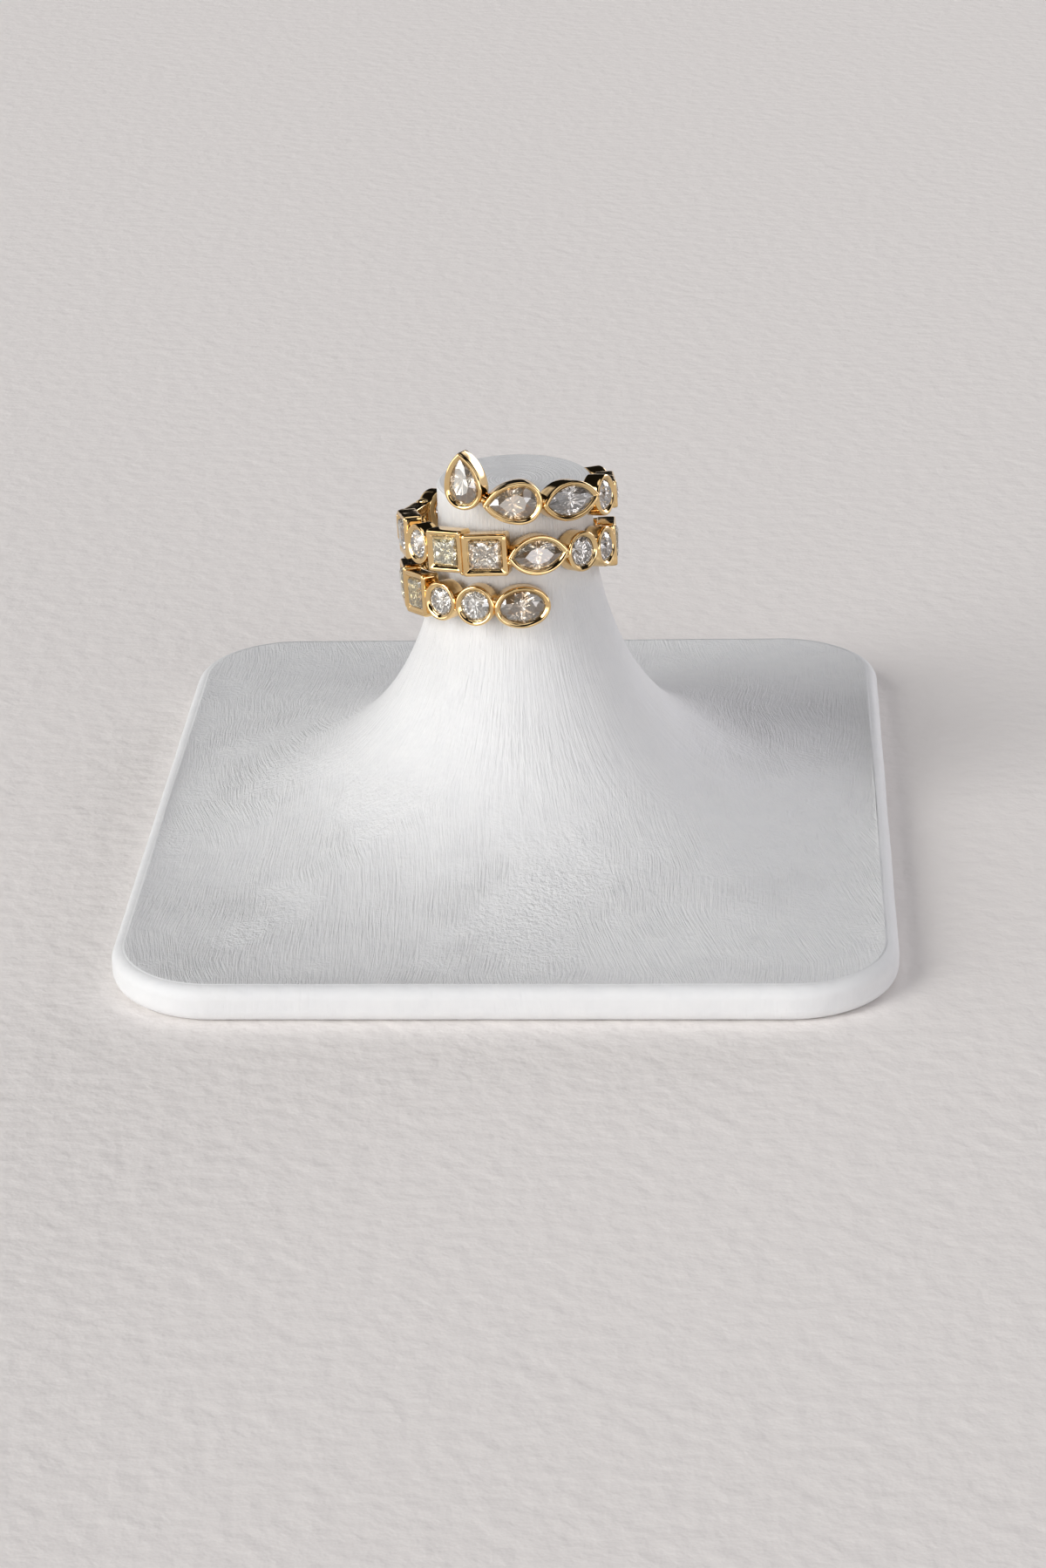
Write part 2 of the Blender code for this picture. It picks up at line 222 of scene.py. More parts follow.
# %% [markdown]
# ## Helpers for surfaces
# Each shape below is a grid of points: one direction runs round an outline, the other along a
# profile. Whole arrays keep the shape in one formula, and a helper turns the grid into faces.


# %% Turn grids of points into meshes
def grid_faces(rows, around, closed=False):
    """Four-cornered faces of a grid that closes round its columns, and along its rows if closed."""
    index = np.arange(rows * around).reshape(rows, around)
    lower = index if closed else index[:-1]
    upper = np.roll(index, -1, axis=0) if closed else index[1:]
    corners = [lower, np.roll(lower, -1, axis=1), np.roll(upper, -1, axis=1), upper]
    return np.stack(corners, axis=-1).reshape(-1, 4)


def new_piece(name, points, faces, material, smooth=True):
    """A piece of the object from points in millimetres and faces, riding on the one body."""
    mesh = bpy.data.meshes.new(name)
    mesh.from_pydata(np.asarray(points) * MM, [], faces)
    mesh.validate()
    mesh.polygons.foreach_set("use_smooth", np.full(len(mesh.polygons), smooth))
    piece = bpy.data.objects.new(name, mesh)
    bpy.context.scene.collection.objects.link(piece)
    mesh.materials.append(material)
    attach(piece, "root")
    return piece


def placed(points, place):
    """Points in a cup's own axes, moved to where that cup sits."""
    return points @ place[:, :3].T + place[:, 3]


print("faces of a small closed grid:", len(grid_faces(3, 4, closed=True)))

# %% [markdown]
# ## Nodes of a material
# Every finish below is a few noise patterns that change colour, roughness and height a little,
# because no real surface is the same all over. One helper writes any node, and the small ones
# after it name the nodes that come again in each finish.


# %% Small helpers for materials
def set_inputs(tree, node, inputs):
    """Each input set to its value, or linked where the value is another node's output."""
    for place, value in inputs.items():
        if isinstance(value, bpy.types.NodeSocket):
            tree.links.new(value, node.inputs[place])
        else:
            node.inputs[place].default_value = value


def add_node(tree, kind, output, inputs, **settings):
    """One output of a new node of this kind, once its settings and inputs are set."""
    node = tree.nodes.new(f"ShaderNode{kind}")
    for name, value in settings.items():
        setattr(node, name, value)
    set_inputs(tree, node, inputs)
    return node.outputs[output]


def new_material(name, look, *details):
    """A material whose shader takes its inputs from a look, which is a function of the nodes."""
    material = bpy.data.materials.new(name)
    material.use_nodes = True
    tree = material.node_tree
    set_inputs(tree, tree.nodes["Principled BSDF"], look(tree, *details))
    return material


def add_noise(tree, vector, scale, detail=2.0, roughness=0.5):
    """A noise pattern from 0 to 1, with its scale in bumps per metre."""
    inputs = {"Vector": vector, "Scale": scale, "Detail": detail, "Roughness": roughness}
    return add_node(tree, "TexNoise", "Fac", inputs)


def add_ramp(tree, value, stops):
    """A colour ramp with its stops given as place and colour."""
    colour = add_node(tree, "ValToRGB", "Color", {"Fac": value})
    for element, (place, stop) in zip(colour.node.color_ramp.elements, stops):
        element.position = place
        element.color = (*stop, 1.0)
    return colour


def add_range(tree, value, low, high, first=0.0, last=1.0):
    """A value that runs from first to last, stretched to run from low to high and cut off there."""
    inputs = {"Value": value, "From Min": first, "From Max": last, "To Min": low, "To Max": high}
    return add_node(tree, "MapRange", "Result", inputs)


def add_bump(tree, height, distance, strength=1.0, under=None):
    """A bent normal from a height pattern of this height in metres, on top of another bump."""
    inputs = {"Height": height, "Distance": distance, "Strength": strength}
    if under is not None:
        inputs["Normal"] = under
    return add_node(tree, "Bump", "Normal", inputs)


def object_coordinates(tree):
    """Where a point lies on the object, in metres."""
    return add_node(tree, "TexCoord", "Object", {})


def stretched(tree, vector, scale, turn=0.0):
    """A pattern's coordinates turned about Z, then stretched by an amount along each axis."""
    turned = add_node(tree, "Mapping", "Vector", {"Vector": vector, "Rotation": (0.0, 0.0, turn)})
    return add_node(tree, "Mapping", "Vector", {"Vector": turned, "Scale": scale})


def add_mix(tree, share, first, second):
    """The first value where the share is 0 and the second one where it is 1."""
    return add_node(tree, "Mix", "Result", {"Factor": share, "A": first, "B": second})


def add_math(tree, operation, *values):
    """One sum on one or two values."""
    return add_node(tree, "Math", "Value", dict(enumerate(values)), operation=operation)


def attribute(tree, name, output="Fac"):
    """A value that is stored on the mesh under this name."""
    return add_node(tree, "Attribute", output, {}, attribute_name=name)


print("material helpers ready")

# %% [markdown]
# ## Polished gold
# Gold that was polished by hand is a mirror with very slight waves, and with fine wear where
# fingers touch it. A metal shader with low roughness gives the mirror, a broad noise gives the
# waves, and a fine one breaks the gloss.

# %% Make the gold
# Bumps per metre of each pattern, and the height of the waves in metres
GOLD_TONE_SCALE = 260.0
GOLD_WEAR_SCALE = 900.0
GOLD_WAVE_SCALE = 700.0
GOLD_WAVE_HEIGHT = 0.00003
GOLD_TONES = [(0.3, (0.78, 0.53, 0.24)), (0.7, (0.89, 0.65, 0.34))]


def gold_look(tree):
    """Colour, roughness and height of the gold, each from a noise of its own scale."""
    where = object_coordinates(tree)
    warm = add_noise(tree, where, GOLD_TONE_SCALE)
    wear = add_noise(tree, where, GOLD_WEAR_SCALE, 4.0, 0.7)
    waves = add_noise(tree, where, GOLD_WAVE_SCALE, 1.0)
    return {
        "Metallic": 1.0,
        "Base Color": add_ramp(tree, warm, GOLD_TONES),
        "Roughness": add_range(tree, wear, 0.02, 0.13),
        "Normal": add_bump(tree, waves, GOLD_WAVE_HEIGHT),
    }


GOLD = new_material("polished_gold", gold_look)
print("gold made:", GOLD.name)

# %% [markdown]
# ## The outlines of the cups
# Each cut has its own outline: an ellipse, a rounded rectangle, two arcs that meet in points, or
# a half circle drawn out to one point. A cup's wall, rim and pocket all follow that outline, each
# a little further in, so the outline takes the inset as its one extra value.

# %% Outlines as whole arrays
AROUND = 96
TIP_RADIUS = 0.22
LEAST_TIP = 0.03
# Points on a rectangle's corner, on a pointed tip, and on a pear's end and side
ON_CORNER = 10
ON_TIP = 12
ON_PEAR_END = 18
ON_PEAR_SIDE = 24


def arc_points(centre, radius, first, last, count, ends=False):
    """Centre plus radius times the cosine and sine, from the first angle to the last, which is
    left out unless ends."""
    angle = np.linspace(first, last, count, endpoint=ends)
    around = np.stack([np.cos(angle), np.sin(angle)], axis=1)
    return np.array(centre) + radius * around


def ellipse_outline(length, width, inset):
    """Half length times the angle's cosine and half width times its sine."""
    angle = np.linspace(0.0, 2.0 * math.pi, AROUND, endpoint=False)
    x = (0.5 * length - inset) * np.cos(angle)
    y = (0.5 * width - inset) * np.sin(angle)
    return np.stack([x, y], axis=1)


def rounded_rectangle(reach, radius, on_corner, on_side):
    """A quarter circle in each corner, and evenly spaced points on the side that follows it."""
    bends = []
    for corner, side in enumerate(((1, 1), (-1, 1), (-1, -1), (1, -1))):
        first = 0.5 * math.pi * corner
        last = first + 0.5 * math.pi
        bends.append(arc_points(reach * side, radius, first, last, on_corner, ends=True))
    share = np.linspace(0.0, 1.0, on_side + 1)[1:-1, None]
    ring = []
    for bend, following in zip(bends, bends[1:] + bends[:1]):
        ring += [bend, bend[-1] + share * (following[0] - bend[-1])]
    return np.concatenate(ring)


def rectangle_outline(length, width, inset):
    """Half length and half width less the inset, with corners that are never quite sharp."""
    radius = max(CORNER_RADIUS - inset, 2.0 * LEAST_TIP)
    reach = np.array([0.5 * length, 0.5 * width]) - inset - radius
    return rounded_rectangle(reach, radius, ON_CORNER, AROUND // 4 - ON_CORNER + 1)


def marquise_outline(length, width, inset):
    """Two equal arcs whose ends are joined by a small arc in each tip."""
    tip = max(TIP_RADIUS - inset, LEAST_TIP)
    half, rise = 0.5 * length, 0.5 * width
    radius = (half**2 + rise**2) / (2.0 * rise)
    below = radius - rise
    spread = math.acos(below / (radius - inset - tip))
    reach = (radius - inset - tip) * math.sin(spread)
    flat = 0.5 * math.pi - spread
    on_side = AROUND // 2 - ON_TIP
    return np.concatenate(
        [
            arc_points((reach, 0.0), tip, 0.0, flat, ON_TIP // 2),
            arc_points((0.0, -below), radius - inset, flat, math.pi - flat, on_side),
            arc_points((-reach, 0.0), tip, math.pi - flat, math.pi + flat, ON_TIP),
            arc_points((0.0, below), radius - inset, -math.pi + flat, -flat, on_side),
            arc_points((reach, 0.0), tip, -flat, 0.0, ON_TIP // 2),
        ]
    )


def pear_outline(length, width, inset):
    """A half circle at the broad end, and an arc on each side to a small arc in the tip."""
    tip = max(TIP_RADIUS - inset, LEAST_TIP)
    end_radius = 0.5 * width
    middle = 0.5 * length - end_radius
    reach = length - end_radius
    below = (reach**2 - end_radius**2) / width
    radius = end_radius + below
    spread = math.acos(below / (radius - inset - tip))
    tip_place = middle - (radius - inset - tip) * math.sin(spread)
    upright = 0.5 * math.pi
    on_tip = upright + spread
    return np.concatenate(
        [
            arc_points((middle, 0.0), end_radius - inset, 0.0, upright, ON_PEAR_END),
            arc_points((middle, -below), radius - inset, upright, on_tip, ON_PEAR_SIDE),
            arc_points((tip_place, 0.0), tip, on_tip, 1.5 * math.pi - spread, ON_TIP),
            arc_points((middle, below), radius - inset, -on_tip, -upright, ON_PEAR_SIDE),
            arc_points((middle, 0.0), end_radius - inset, -upright, 0.0, ON_PEAR_END),
        ]
    )


OUTLINES = {
    "round": ellipse_outline,
    "oval": ellipse_outline,
    "square": rectangle_outline,
    "baguette": rectangle_outline,
    "marquise": marquise_outline,
    "pear": pear_outline,
}
for cut, outline in OUTLINES.items():
    assert len(outline(*CUT_SIZES[cut], 0.0)) == AROUND, cut
print("outline points:", AROUND)

# %% [markdown]
# ## The gold cups
# A cup is a strip of gold bent round the stone, with its top edge pushed over the stone and
# polished round. Its section is closed: up the outside wall, over the rounded rim, down to the
# lip that holds the stone, and back under the seat to the open back. That section is carried
# round the outline. Slow small waves are added, because the rim was pushed and filed by hand.

# %% Carry the section of a cup round its outline
# The rim, as shares of its width and heights in millimetres, from the outer wall to the lip
RIM_SECTION = np.array([
    (0.000, -0.36), (0.015, -0.23), (0.060, -0.12), (0.140, -0.048), (0.250, -0.012),
    (0.370, 0.000), (0.500, -0.014), (0.630, -0.048), (0.750, -0.098), (0.840, -0.148),
    (0.890, -0.176), (0.930, -0.186), (0.970, -0.200), (1.000, -0.232), (0.985, -0.262),
])
# The outside wall and the open back: inset from the outline, or from the window, and height
WALL_SECTION = [(0.07, -1.85), (0.02, -1.83), (0.0, -1.78), (0.0, -1.30), (0.0, -0.80)]
BACK_SECTION = [(0.0, -1.50), (0.0, -1.80), (-0.04, -1.85)]
WALL_FOOT = (0.45, -1.85)
POCKET_UNDERCUT = 0.05
# Height from which the hand-made waves grow up to the rim, their size, and waves round one cup
WAVE_FOOT = -1.2
WAVE_SIZE = 0.016
WAVE_COUNTS = np.arange(2, 7)[:, None]


def rim_width(cut):
    """Width of the gold rim in front of the stone, which is broader on square cups."""
    return SQUARE_RIM_WIDTH if cut == "square" else RIM_WIDTH


def cup_section(rim):
    """Inset and height of the section: up the wall, over the rim, and back under the seat."""
    window = rim + LEDGE_WIDTH
    pocket = rim - POCKET_UNDERCUT
    back = [(window + inset, height) for inset, height in BACK_SECTION] + [WALL_FOOT]
    seat = [(pocket, -0.29), (pocket, -0.44), (rim + 0.05, -0.55), (window, -0.98)]
    return np.concatenate([back, WALL_SECTION, RIM_SECTION * (rim, 1.0), seat])


def cup_points(row, random):
    """Every outline of the section, stacked: a grid of section points by points round the cup. The
    waves are a sum of sines that grows from the foot to the rim."""
    outline = OUTLINES[row[0]]
    length, width = stone_size(row)
    section = cup_section(rim_width(row[0]))
    grid = np.stack([outline(length, width, inset) for inset, _ in section])
    heights = np.repeat(section[:, 1:2], AROUND, axis=1)
    turn = np.linspace(0.0, 2.0 * math.pi, AROUND, endpoint=False)
    phases = random.uniform(0.0, 2.0 * math.pi, (2, len(WAVE_COUNTS), 1))
    sizes = random.uniform(0.3, 1.0, (2, len(WAVE_COUNTS), 1)) / WAVE_COUNTS**0.5
    waves = WAVE_SIZE * (sizes * np.sin(WAVE_COUNTS * turn + phases)).sum(axis=1)
    grown = np.clip((heights - WAVE_FOOT) / -WAVE_FOOT, 0.0, 1.0)
    inward = -grid / np.linalg.norm(grid, axis=2, keepdims=True)
    grid = grid + inward * (np.maximum(waves[0], 0.0) * grown)[:, :, None]
    heights = heights - np.abs(waves[1]) * grown
    return np.concatenate([grid, heights[:, :, None]], axis=2)


def make_cups():
    """All the cups as one mesh: each cup's grid moved to its frame, and the same faces again."""
    random = np.random.default_rng(7)
    points, faces = [], []
    one = grid_faces(len(cup_section(RIM_WIDTH)), AROUND, closed=True)
    for number, (row, place) in enumerate(zip(STONES, FRAMES)):
        grid = cup_points(row, random).reshape(-1, 3)
        points.append(placed(grid, place))
        faces.append(one + number * len(grid))
    points, faces = np.concatenate(points), np.concatenate(faces)
    return new_piece("gold_cups", points, faces, GOLD)


CUPS = make_cups()
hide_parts("gold_setting")
print("cup faces:", len(CUPS.data.polygons))

# %% [markdown]
# ## Solder between the cups
# Where two cups touch, a bead of solder joins them, and its top catches the light as a small
# bright point. A bead is a squashed ball between the two walls, from just under the rims down to
# the backs.

# %% Put a bead of solder into each joint
BEAD_ROUND = 20
BEAD_RINGS = 12
BEAD_REACH = (0.30, 0.34, 0.62)
BEAD_DEPTH = 0.72
BEAD_END = 0.47 * math.pi
LEAST_GAP = 1e-3


def nearest_pair(first, second):
    """The point of each of two outlines that comes nearest to the other outline."""
    away = np.linalg.norm(first[:, None] - second[None], axis=2)
    here, there = np.unravel_index(away.argmin(), away.shape)
    return first[here], second[there]


def outline_in_space(number, depth):
    """One cup's outline, put in its place at a depth below the face."""
    flat = OUTLINES[STONES[number][0]](*stone_size(STONES[number]), 0.0)
    return placed(np.c_[flat, np.full(AROUND, -depth)], FRAMES[number])


def bead_points(start, end, out):
    """A ball stretched outwards: its three reaches times the sines and cosines of two angles."""
    along = end - start
    along = along - (along @ out) * out
    along = along / np.linalg.norm(along)
    across = np.cross(out, along)
    turn = np.linspace(0.0, 2.0 * math.pi, BEAD_ROUND, endpoint=False)[None, :]
    rise = np.linspace(BEAD_END, -BEAD_END, BEAD_RINGS)[:, None]
    x = BEAD_REACH[0] * np.cos(rise) * np.cos(turn)
    y = BEAD_REACH[1] * np.cos(rise) * np.sin(turn)
    z = BEAD_REACH[2] * np.sin(rise) + 0.0 * turn
    middle = 0.5 * (start + end)
    return middle + x[..., None] * along + y[..., None] * across + z[..., None] * out


def make_beads():
    """All the beads as one mesh, each with a flat end above and below."""
    points, faces = [], []
    count = BEAD_RINGS * BEAD_ROUND
    one = grid_faces(BEAD_RINGS, BEAD_ROUND)[:, ::-1]
    ends = np.stack([np.arange(BEAD_ROUND), np.arange(count - 1, count - 1 - BEAD_ROUND, -1)])
    for number in range(len(STONES) - 1):
        here = outline_in_space(number, BEAD_DEPTH)
        start, end = nearest_pair(here, outline_in_space(number + 1, BEAD_DEPTH))
        if np.linalg.norm(end - start) < LEAST_GAP:
            end = start + LEAST_GAP * FRAMES[number][:, 0]
        out = FRAMES[number][:, 2] + FRAMES[number + 1][:, 2]
        grid = bead_points(start, end, out / np.linalg.norm(out))
        points.append(grid.reshape(-1, 3))
        faces += (one + number * count).tolist() + (ends + number * count).tolist()
    return new_piece("solder_beads", np.concatenate(points), faces, GOLD)


BEADS = make_beads()
print("bead faces:", len(BEADS.data.polygons))

# %% [markdown]
# ## The stones
# A cut stone is a handful of flat facets, so its points are worked out exactly and its faces stay
# flat. A brilliant has a table, eight stars, eight kites and sixteen small facets above its
# girdle, and kites and long facets down to a point below it. What you see inside a diamond is
# mostly the facets of its back, so the back is cut with the same care as the front.

# %% Facets of a brilliant
GIRDLE_TUCK = 0.02
GIRDLE_HIGH = -0.30
GIRDLE_LOW = -0.38
TABLE_SHARE = 0.56
STAR_SHARE = 0.79
STAR_RISE = 0.56
PAVILION_SHARE = 0.42
LOWER_SHARE = 0.30
LOWER_SLOPE = 1.12


def girdle_points(cut, length, width, inset):
    """Sixteen points round the stone's widest part, on an ellipse or on the arcs of a pointed cut,
    with its tips among them."""
    angle = 2.0 * math.pi * np.arange(16) / 16
    half, rise = 0.5 * length - inset, 0.5 * width - inset
    upright = 0.5 * math.pi
    if cut in ("round", "oval"):
        return np.stack([half * np.cos(angle), rise * np.sin(angle)], axis=1)
    if cut == "marquise":
        radius = (half**2 + rise**2) / (2.0 * rise)
        spread = math.asin(half / radius)
        upper = arc_points((0.0, rise - radius), radius, upright - spread, upright + spread, 8)
        return np.concatenate([upper, -upper])
    middle = half - rise
    reach = 2.0 * half - rise
    below = (reach**2 - rise**2) / (2.0 * rise)
    radius = rise + below
    spread = math.asin(reach / radius)
    return np.concatenate(
        [
            arc_points((middle, 0.0), rise, 0.0, upright, 4),
            arc_points((middle, -below), radius, upright, upright + spread, 4),
            arc_points((middle, below), radius, -upright - spread, -upright, 4),
            arc_points((middle, 0.0), rise, -upright, 0.0, 4),
        ]
    )


def brilliant(cut, length, width):
    """Rings of points from the table to the culet, each the girdle shrunk by a share, and the
    triangles and kites between them."""
    inset = rim_width(cut) - GIRDLE_TUCK
    girdle = girdle_points(cut, length, width, inset)
    deep = PAVILION_SHARE * (width - 2.0 * inset)
    rings = [
        (girdle[0::2] * TABLE_SHARE, CROWN_PROUD),
        (girdle[1::2] * STAR_SHARE, GIRDLE_HIGH + STAR_RISE * (CROWN_PROUD - GIRDLE_HIGH)),
        (girdle, GIRDLE_HIGH),
        (girdle, GIRDLE_LOW),
        (girdle[1::2] * LOWER_SHARE, GIRDLE_LOW - (1.0 - LOWER_SLOPE * LOWER_SHARE) * deep),
        (girdle[:1] * 0.0, GIRDLE_LOW - deep),
    ]
    points = np.concatenate([np.c_[ring, np.full(len(ring), height)] for ring, height in rings])
    table, star, high, low, lower, culet = 0, 8, 16, 32, 48, 56
    k = np.arange(8)
    j = (k + 1) % 8
    before = (k - 1) % 8
    g = np.arange(16)
    h = (g + 1) % 16
    facets = [
        [table + k, star + k, table + j],
        [table + k, star + before, high + 2 * k, star + k],
        [star + k, high + 2 * k, high + 2 * k + 1],
        [star + k, high + 2 * k + 1, high + 2 * j],
        [high + g, low + g, low + h, high + h],
        [low + 2 * k, lower + k, low + 2 * k + 1],
        [low + 2 * k + 1, lower + k, low + 2 * j],
        [low + 2 * k, lower + before, np.full(8, culet), lower + k],
    ]
    faces = [list(range(table, table + 8))]
    for corners in facets:
        faces += np.stack(corners, 1).tolist()
    return points, faces


print("facets of a brilliant:", len(brilliant("round", *CUT_SIZES["round"])[1]))

# %% [markdown]
# ## Square and long stones
# A square stone has rings of straight edges, and below the girdle its back is folded into
# chevrons, which gives it its crossed sparkle. A long stone is cut in plain steps, like a stair
# round a hollow, down to a short keel. Both are rings of points with faces between them.

# %% Facets of the square and the long stones
# From the table down: share of the stone's size, and how far every other point is pushed up
PRINCESS_SHARES = (0.66, 0.86, 1.0, 1.0, 0.74, 0.46, 0.20)
PRINCESS_FOLDS = (0.0, 0.033, 0.0, 0.0, 0.055, -0.055, 0.055)
PRINCESS_CROWN = 0.02
PRINCESS_DROPS = (0.30, 0.60, 0.85)
PRINCESS_DEPTH = 0.47
PRINCESS_CORNER = 0.10
PRINCESS_SIDE = 4
STEP_SHARES = np.array([0.52, 0.76, 1.0, 1.0, 0.76, 0.44, 0.04])
STEP_CROWN = -0.02
STEP_DROPS = np.array([0.34, 0.72, 1.0])
STEP_DEPTH = 0.50


def square_ring(length, width, share, corner, count):
    """Points round a rectangle with cut-off corners, the same number on each of its sides."""
    x, y = 0.5 * length * share, 0.5 * width * share
    cut = corner * share
    posts = np.array([(x, y - cut), (x - cut, y), (-x + cut, y), (-x, y - cut)])
    posts = np.concatenate([posts, -posts])
    following = np.roll(posts, -1, axis=0)
    along = np.linspace(0.0, 1.0, count, endpoint=False)[:, None]
    ring = []
    for number in range(8):
        steps = along if number % 2 else along[:1]
        ring.append(posts[number] + steps * (following[number] - posts[number]))
    return np.concatenate(ring)


def princess(length, width):
    """Square rings from the table to the culet. Every other point of the rings below the girdle
    is pushed up or down in turn, which folds the back into chevrons."""
    inset = rim_width("square") - GIRDLE_TUCK
    stone_length, stone_width = length - 2.0 * inset, width - 2.0 * inset
    deep = PRINCESS_DEPTH * stone_width
    heights = [CROWN_PROUD, PRINCESS_CROWN, GIRDLE_HIGH, GIRDLE_LOW]
    heights += [GIRDLE_LOW - deep * drop for drop in PRINCESS_DROPS]
    around = 4 * (PRINCESS_SIDE + 1)
    k = np.arange(around)
    points = []
    for share, height, fold in zip(PRINCESS_SHARES, heights, PRINCESS_FOLDS):
        ring = square_ring(stone_length, stone_width, share, PRINCESS_CORNER, PRINCESS_SIDE)
        points.append(np.c_[ring, height + fold * (k % 2)])
    points = np.concatenate(points + [np.array([[0.0, 0.0, GIRDLE_LOW - deep]])])
    quads = grid_faces(len(PRINCESS_SHARES), around)
    flip = (np.arange(len(quads)) // around + np.arange(len(quads))) % 2 == 0
    a, b, c, d = quads.T
    first = np.stack([a, b, np.where(flip, c, d)], 1)
    second = np.stack([np.where(flip, a, b), c, d], 1)
    last = (len(PRINCESS_SHARES) - 1) * around
    tip = np.full(around, len(points) - 1)
    fan = np.stack([last + k, last + (k + 1) % around, tip], 1)
    sides = np.concatenate([first, second, fan])[:, ::-1]
    return points, [list(range(around))] + sides.tolist()


def step_cut(length, width):
    """Rectangles from the table down to a short keel: each is the stone's size less what that
    step cuts off its width."""
    inset = rim_width("baguette") - GIRDLE_TUCK
    stone_length, stone_width = length - 2.0 * inset, width - 2.0 * inset
    heights = [CROWN_PROUD, STEP_CROWN, GIRDLE_HIGH, GIRDLE_LOW]
    heights += (GIRDLE_LOW - STEP_DEPTH * stone_width * STEP_DROPS).tolist()
    trim = (1.0 - STEP_SHARES) * stone_width
    points = []
    for share, height, cut_back in zip(STEP_SHARES, heights, trim):
        x, y = 0.5 * (stone_length - cut_back), 0.5 * stone_width * share
        upper = np.array([(x, y), (0.0, y), (-x, y), (-x, 0.0)])
        points.append(np.c_[np.concatenate([upper, -upper]), np.full(8, height)])
    faces = [list(range(8))] + grid_faces(len(STEP_SHARES), 8)[:, ::-1].tolist()
    last = (len(STEP_SHARES) - 1) * 8
    faces.append(list(range(last + 7, last - 1, -1)))
    return np.concatenate(points), faces


print("facets of a square stone:", len(princess(*CUT_SIZES["square"])[1]))
print("facets of a long stone:", len(step_cut(*CUT_SIZES["baguette"])[1]))

# %% [markdown]
# ## Diamond
# Diamond is clear, and what gives it colour is a trace in the crystal and the many turns that
# light takes inside. A glass shader with diamond's index does the bending. Each facet gets a
# random shade between a light and a deep tint, stored on its face. The tints are the stones' own
# colour, and the spread between them is painted sparkle: bright and dark facets painted into the
# colour, so that the stones sparkle in patches as cut stones do. A small share of the light is
# scattered instead, because these stones are a little cloudy.

# %% Make the diamonds
DIAMOND_INDEX = 2.42
CLEARNESS = 0.88
CLOUD_SCALE = 1500.0
CLOUD_ROUGHNESS = 0.03
# The tint of the lightest facets and of the deepest ones: the stone's own colour, spread into
# painted sparkle
TINTS = {
    "white": ((1.0, 0.98, 0.94), (0.92, 0.85, 0.75)),
    "grey": ((1.0, 0.97, 0.935), (0.82, 0.74, 0.67)),
    "champagne": ((1.0, 0.935, 0.81), (0.86, 0.56, 0.31)),
    "yellow": ((1.0, 0.95, 0.74), (0.94, 0.76, 0.38)),
}


def diamond_look(tree, tint):
    """A clear stone whose facets run at random from the deep tint to the light one, as painted
    sparkle.
    """
    light, deep = TINTS[tint]
    cloud = add_noise(tree, object_coordinates(tree), CLOUD_SCALE)
    return {
        "Transmission Weight": CLEARNESS,
        "IOR": DIAMOND_INDEX,
        # painted sparkle: each facet's random value picks its shade between the deep and the light
        # tint
        "Base Color": add_ramp(tree, attribute(tree, "painted_sparkle"), [(0.25, deep), (0.7, light)]),
        "Roughness": add_range(tree, cloud, 0.0, CLOUD_ROUGHNESS),
    }


DIAMONDS = {tint: new_material(f"{tint}_diamond", diamond_look, tint) for tint in TINTS}
print("diamond tints:", list(DIAMONDS))

# %% [markdown]
# ## Setting the stones
# No two tables of a ring like this lie quite level, because each stone is pressed into its cup by
# hand. So every table slopes by a random degree or so, and the last pear's slopes enough to mirror
# the light.

# %% Put a stone into each cup
END_TABLE_SLOPE = (0.13, 0.05)
TABLE_SLOPE = 0.02


def make_stones():
    """Each cut's points and faces, its table sloped by its two slopes, moved to its cup's frame."""
    random = np.random.default_rng(11)
    for number, (row, place) in enumerate(zip(STONES, FRAMES), start=1):
        cut, tint = row[:2]
        length, width = stone_size(row)
        if cut == "square":
            points, faces = princess(length, width)
        elif cut == "baguette":
            points, faces = step_cut(length, width)
        else:
            points, faces = brilliant(cut, length, width)
        slope = random.normal(0.0, TABLE_SLOPE, 2) if number < len(STONES) else END_TABLE_SLOPE
        table = points[:, 2] > CROWN_PROUD - 1e-6
        points[table, 2] += points[table, :2] @ slope
        points = placed(points, place)
        name, slot = f"diamond_{number:02d}", f"diamond_{tint}"
        stone = new_piece(name, points, faces, DIAMONDS[tint], smooth=False)
        # a random value on each face, which paints the sparkle of the facets into the colour
        painted_sparkle = stone.data.attributes.new("painted_sparkle", "FLOAT", "FACE")
        painted_sparkle.data.foreach_set("value", random.uniform(0.0, 1.0, len(stone.data.polygons)))
        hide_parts(f"{cut}_stone_{number:02d}")
    return number


print("stones made:", make_stones())

# %% [markdown]
# ## The painted stand
# The stand was turned and carved, then covered in thick paint with a stiff brush. Its shape is one
# sweep: the plate's rounded rectangle at the bottom, blending into the column's circle at the top.

# %% Work out the stand's surface
STAND_SIDE_STEPS = 40
STAND_CORNER_STEPS = 24
SWEEP_STEPS = 110
COLUMN_STEPS = 8
EDGE_STEPS = 10
CAP_STEPS = 16
# The smallest and the largest ring of the underside and of the column's top, as shares
UNDERSIDE_SHARES = (0.02, 0.98)
TOP_SHARES = (0.95, 0.03)


def plate_outline(inset):
    """The plate's rounded rectangle, drawn in by the inset."""
    reach = np.array([0.5 * PLATE_WIDTH, 0.5 * PLATE_LENGTH]) - PLATE_CORNER
    return rounded_rectangle(reach, PLATE_CORNER - inset, STAND_CORNER_STEPS, STAND_SIDE_STEPS)


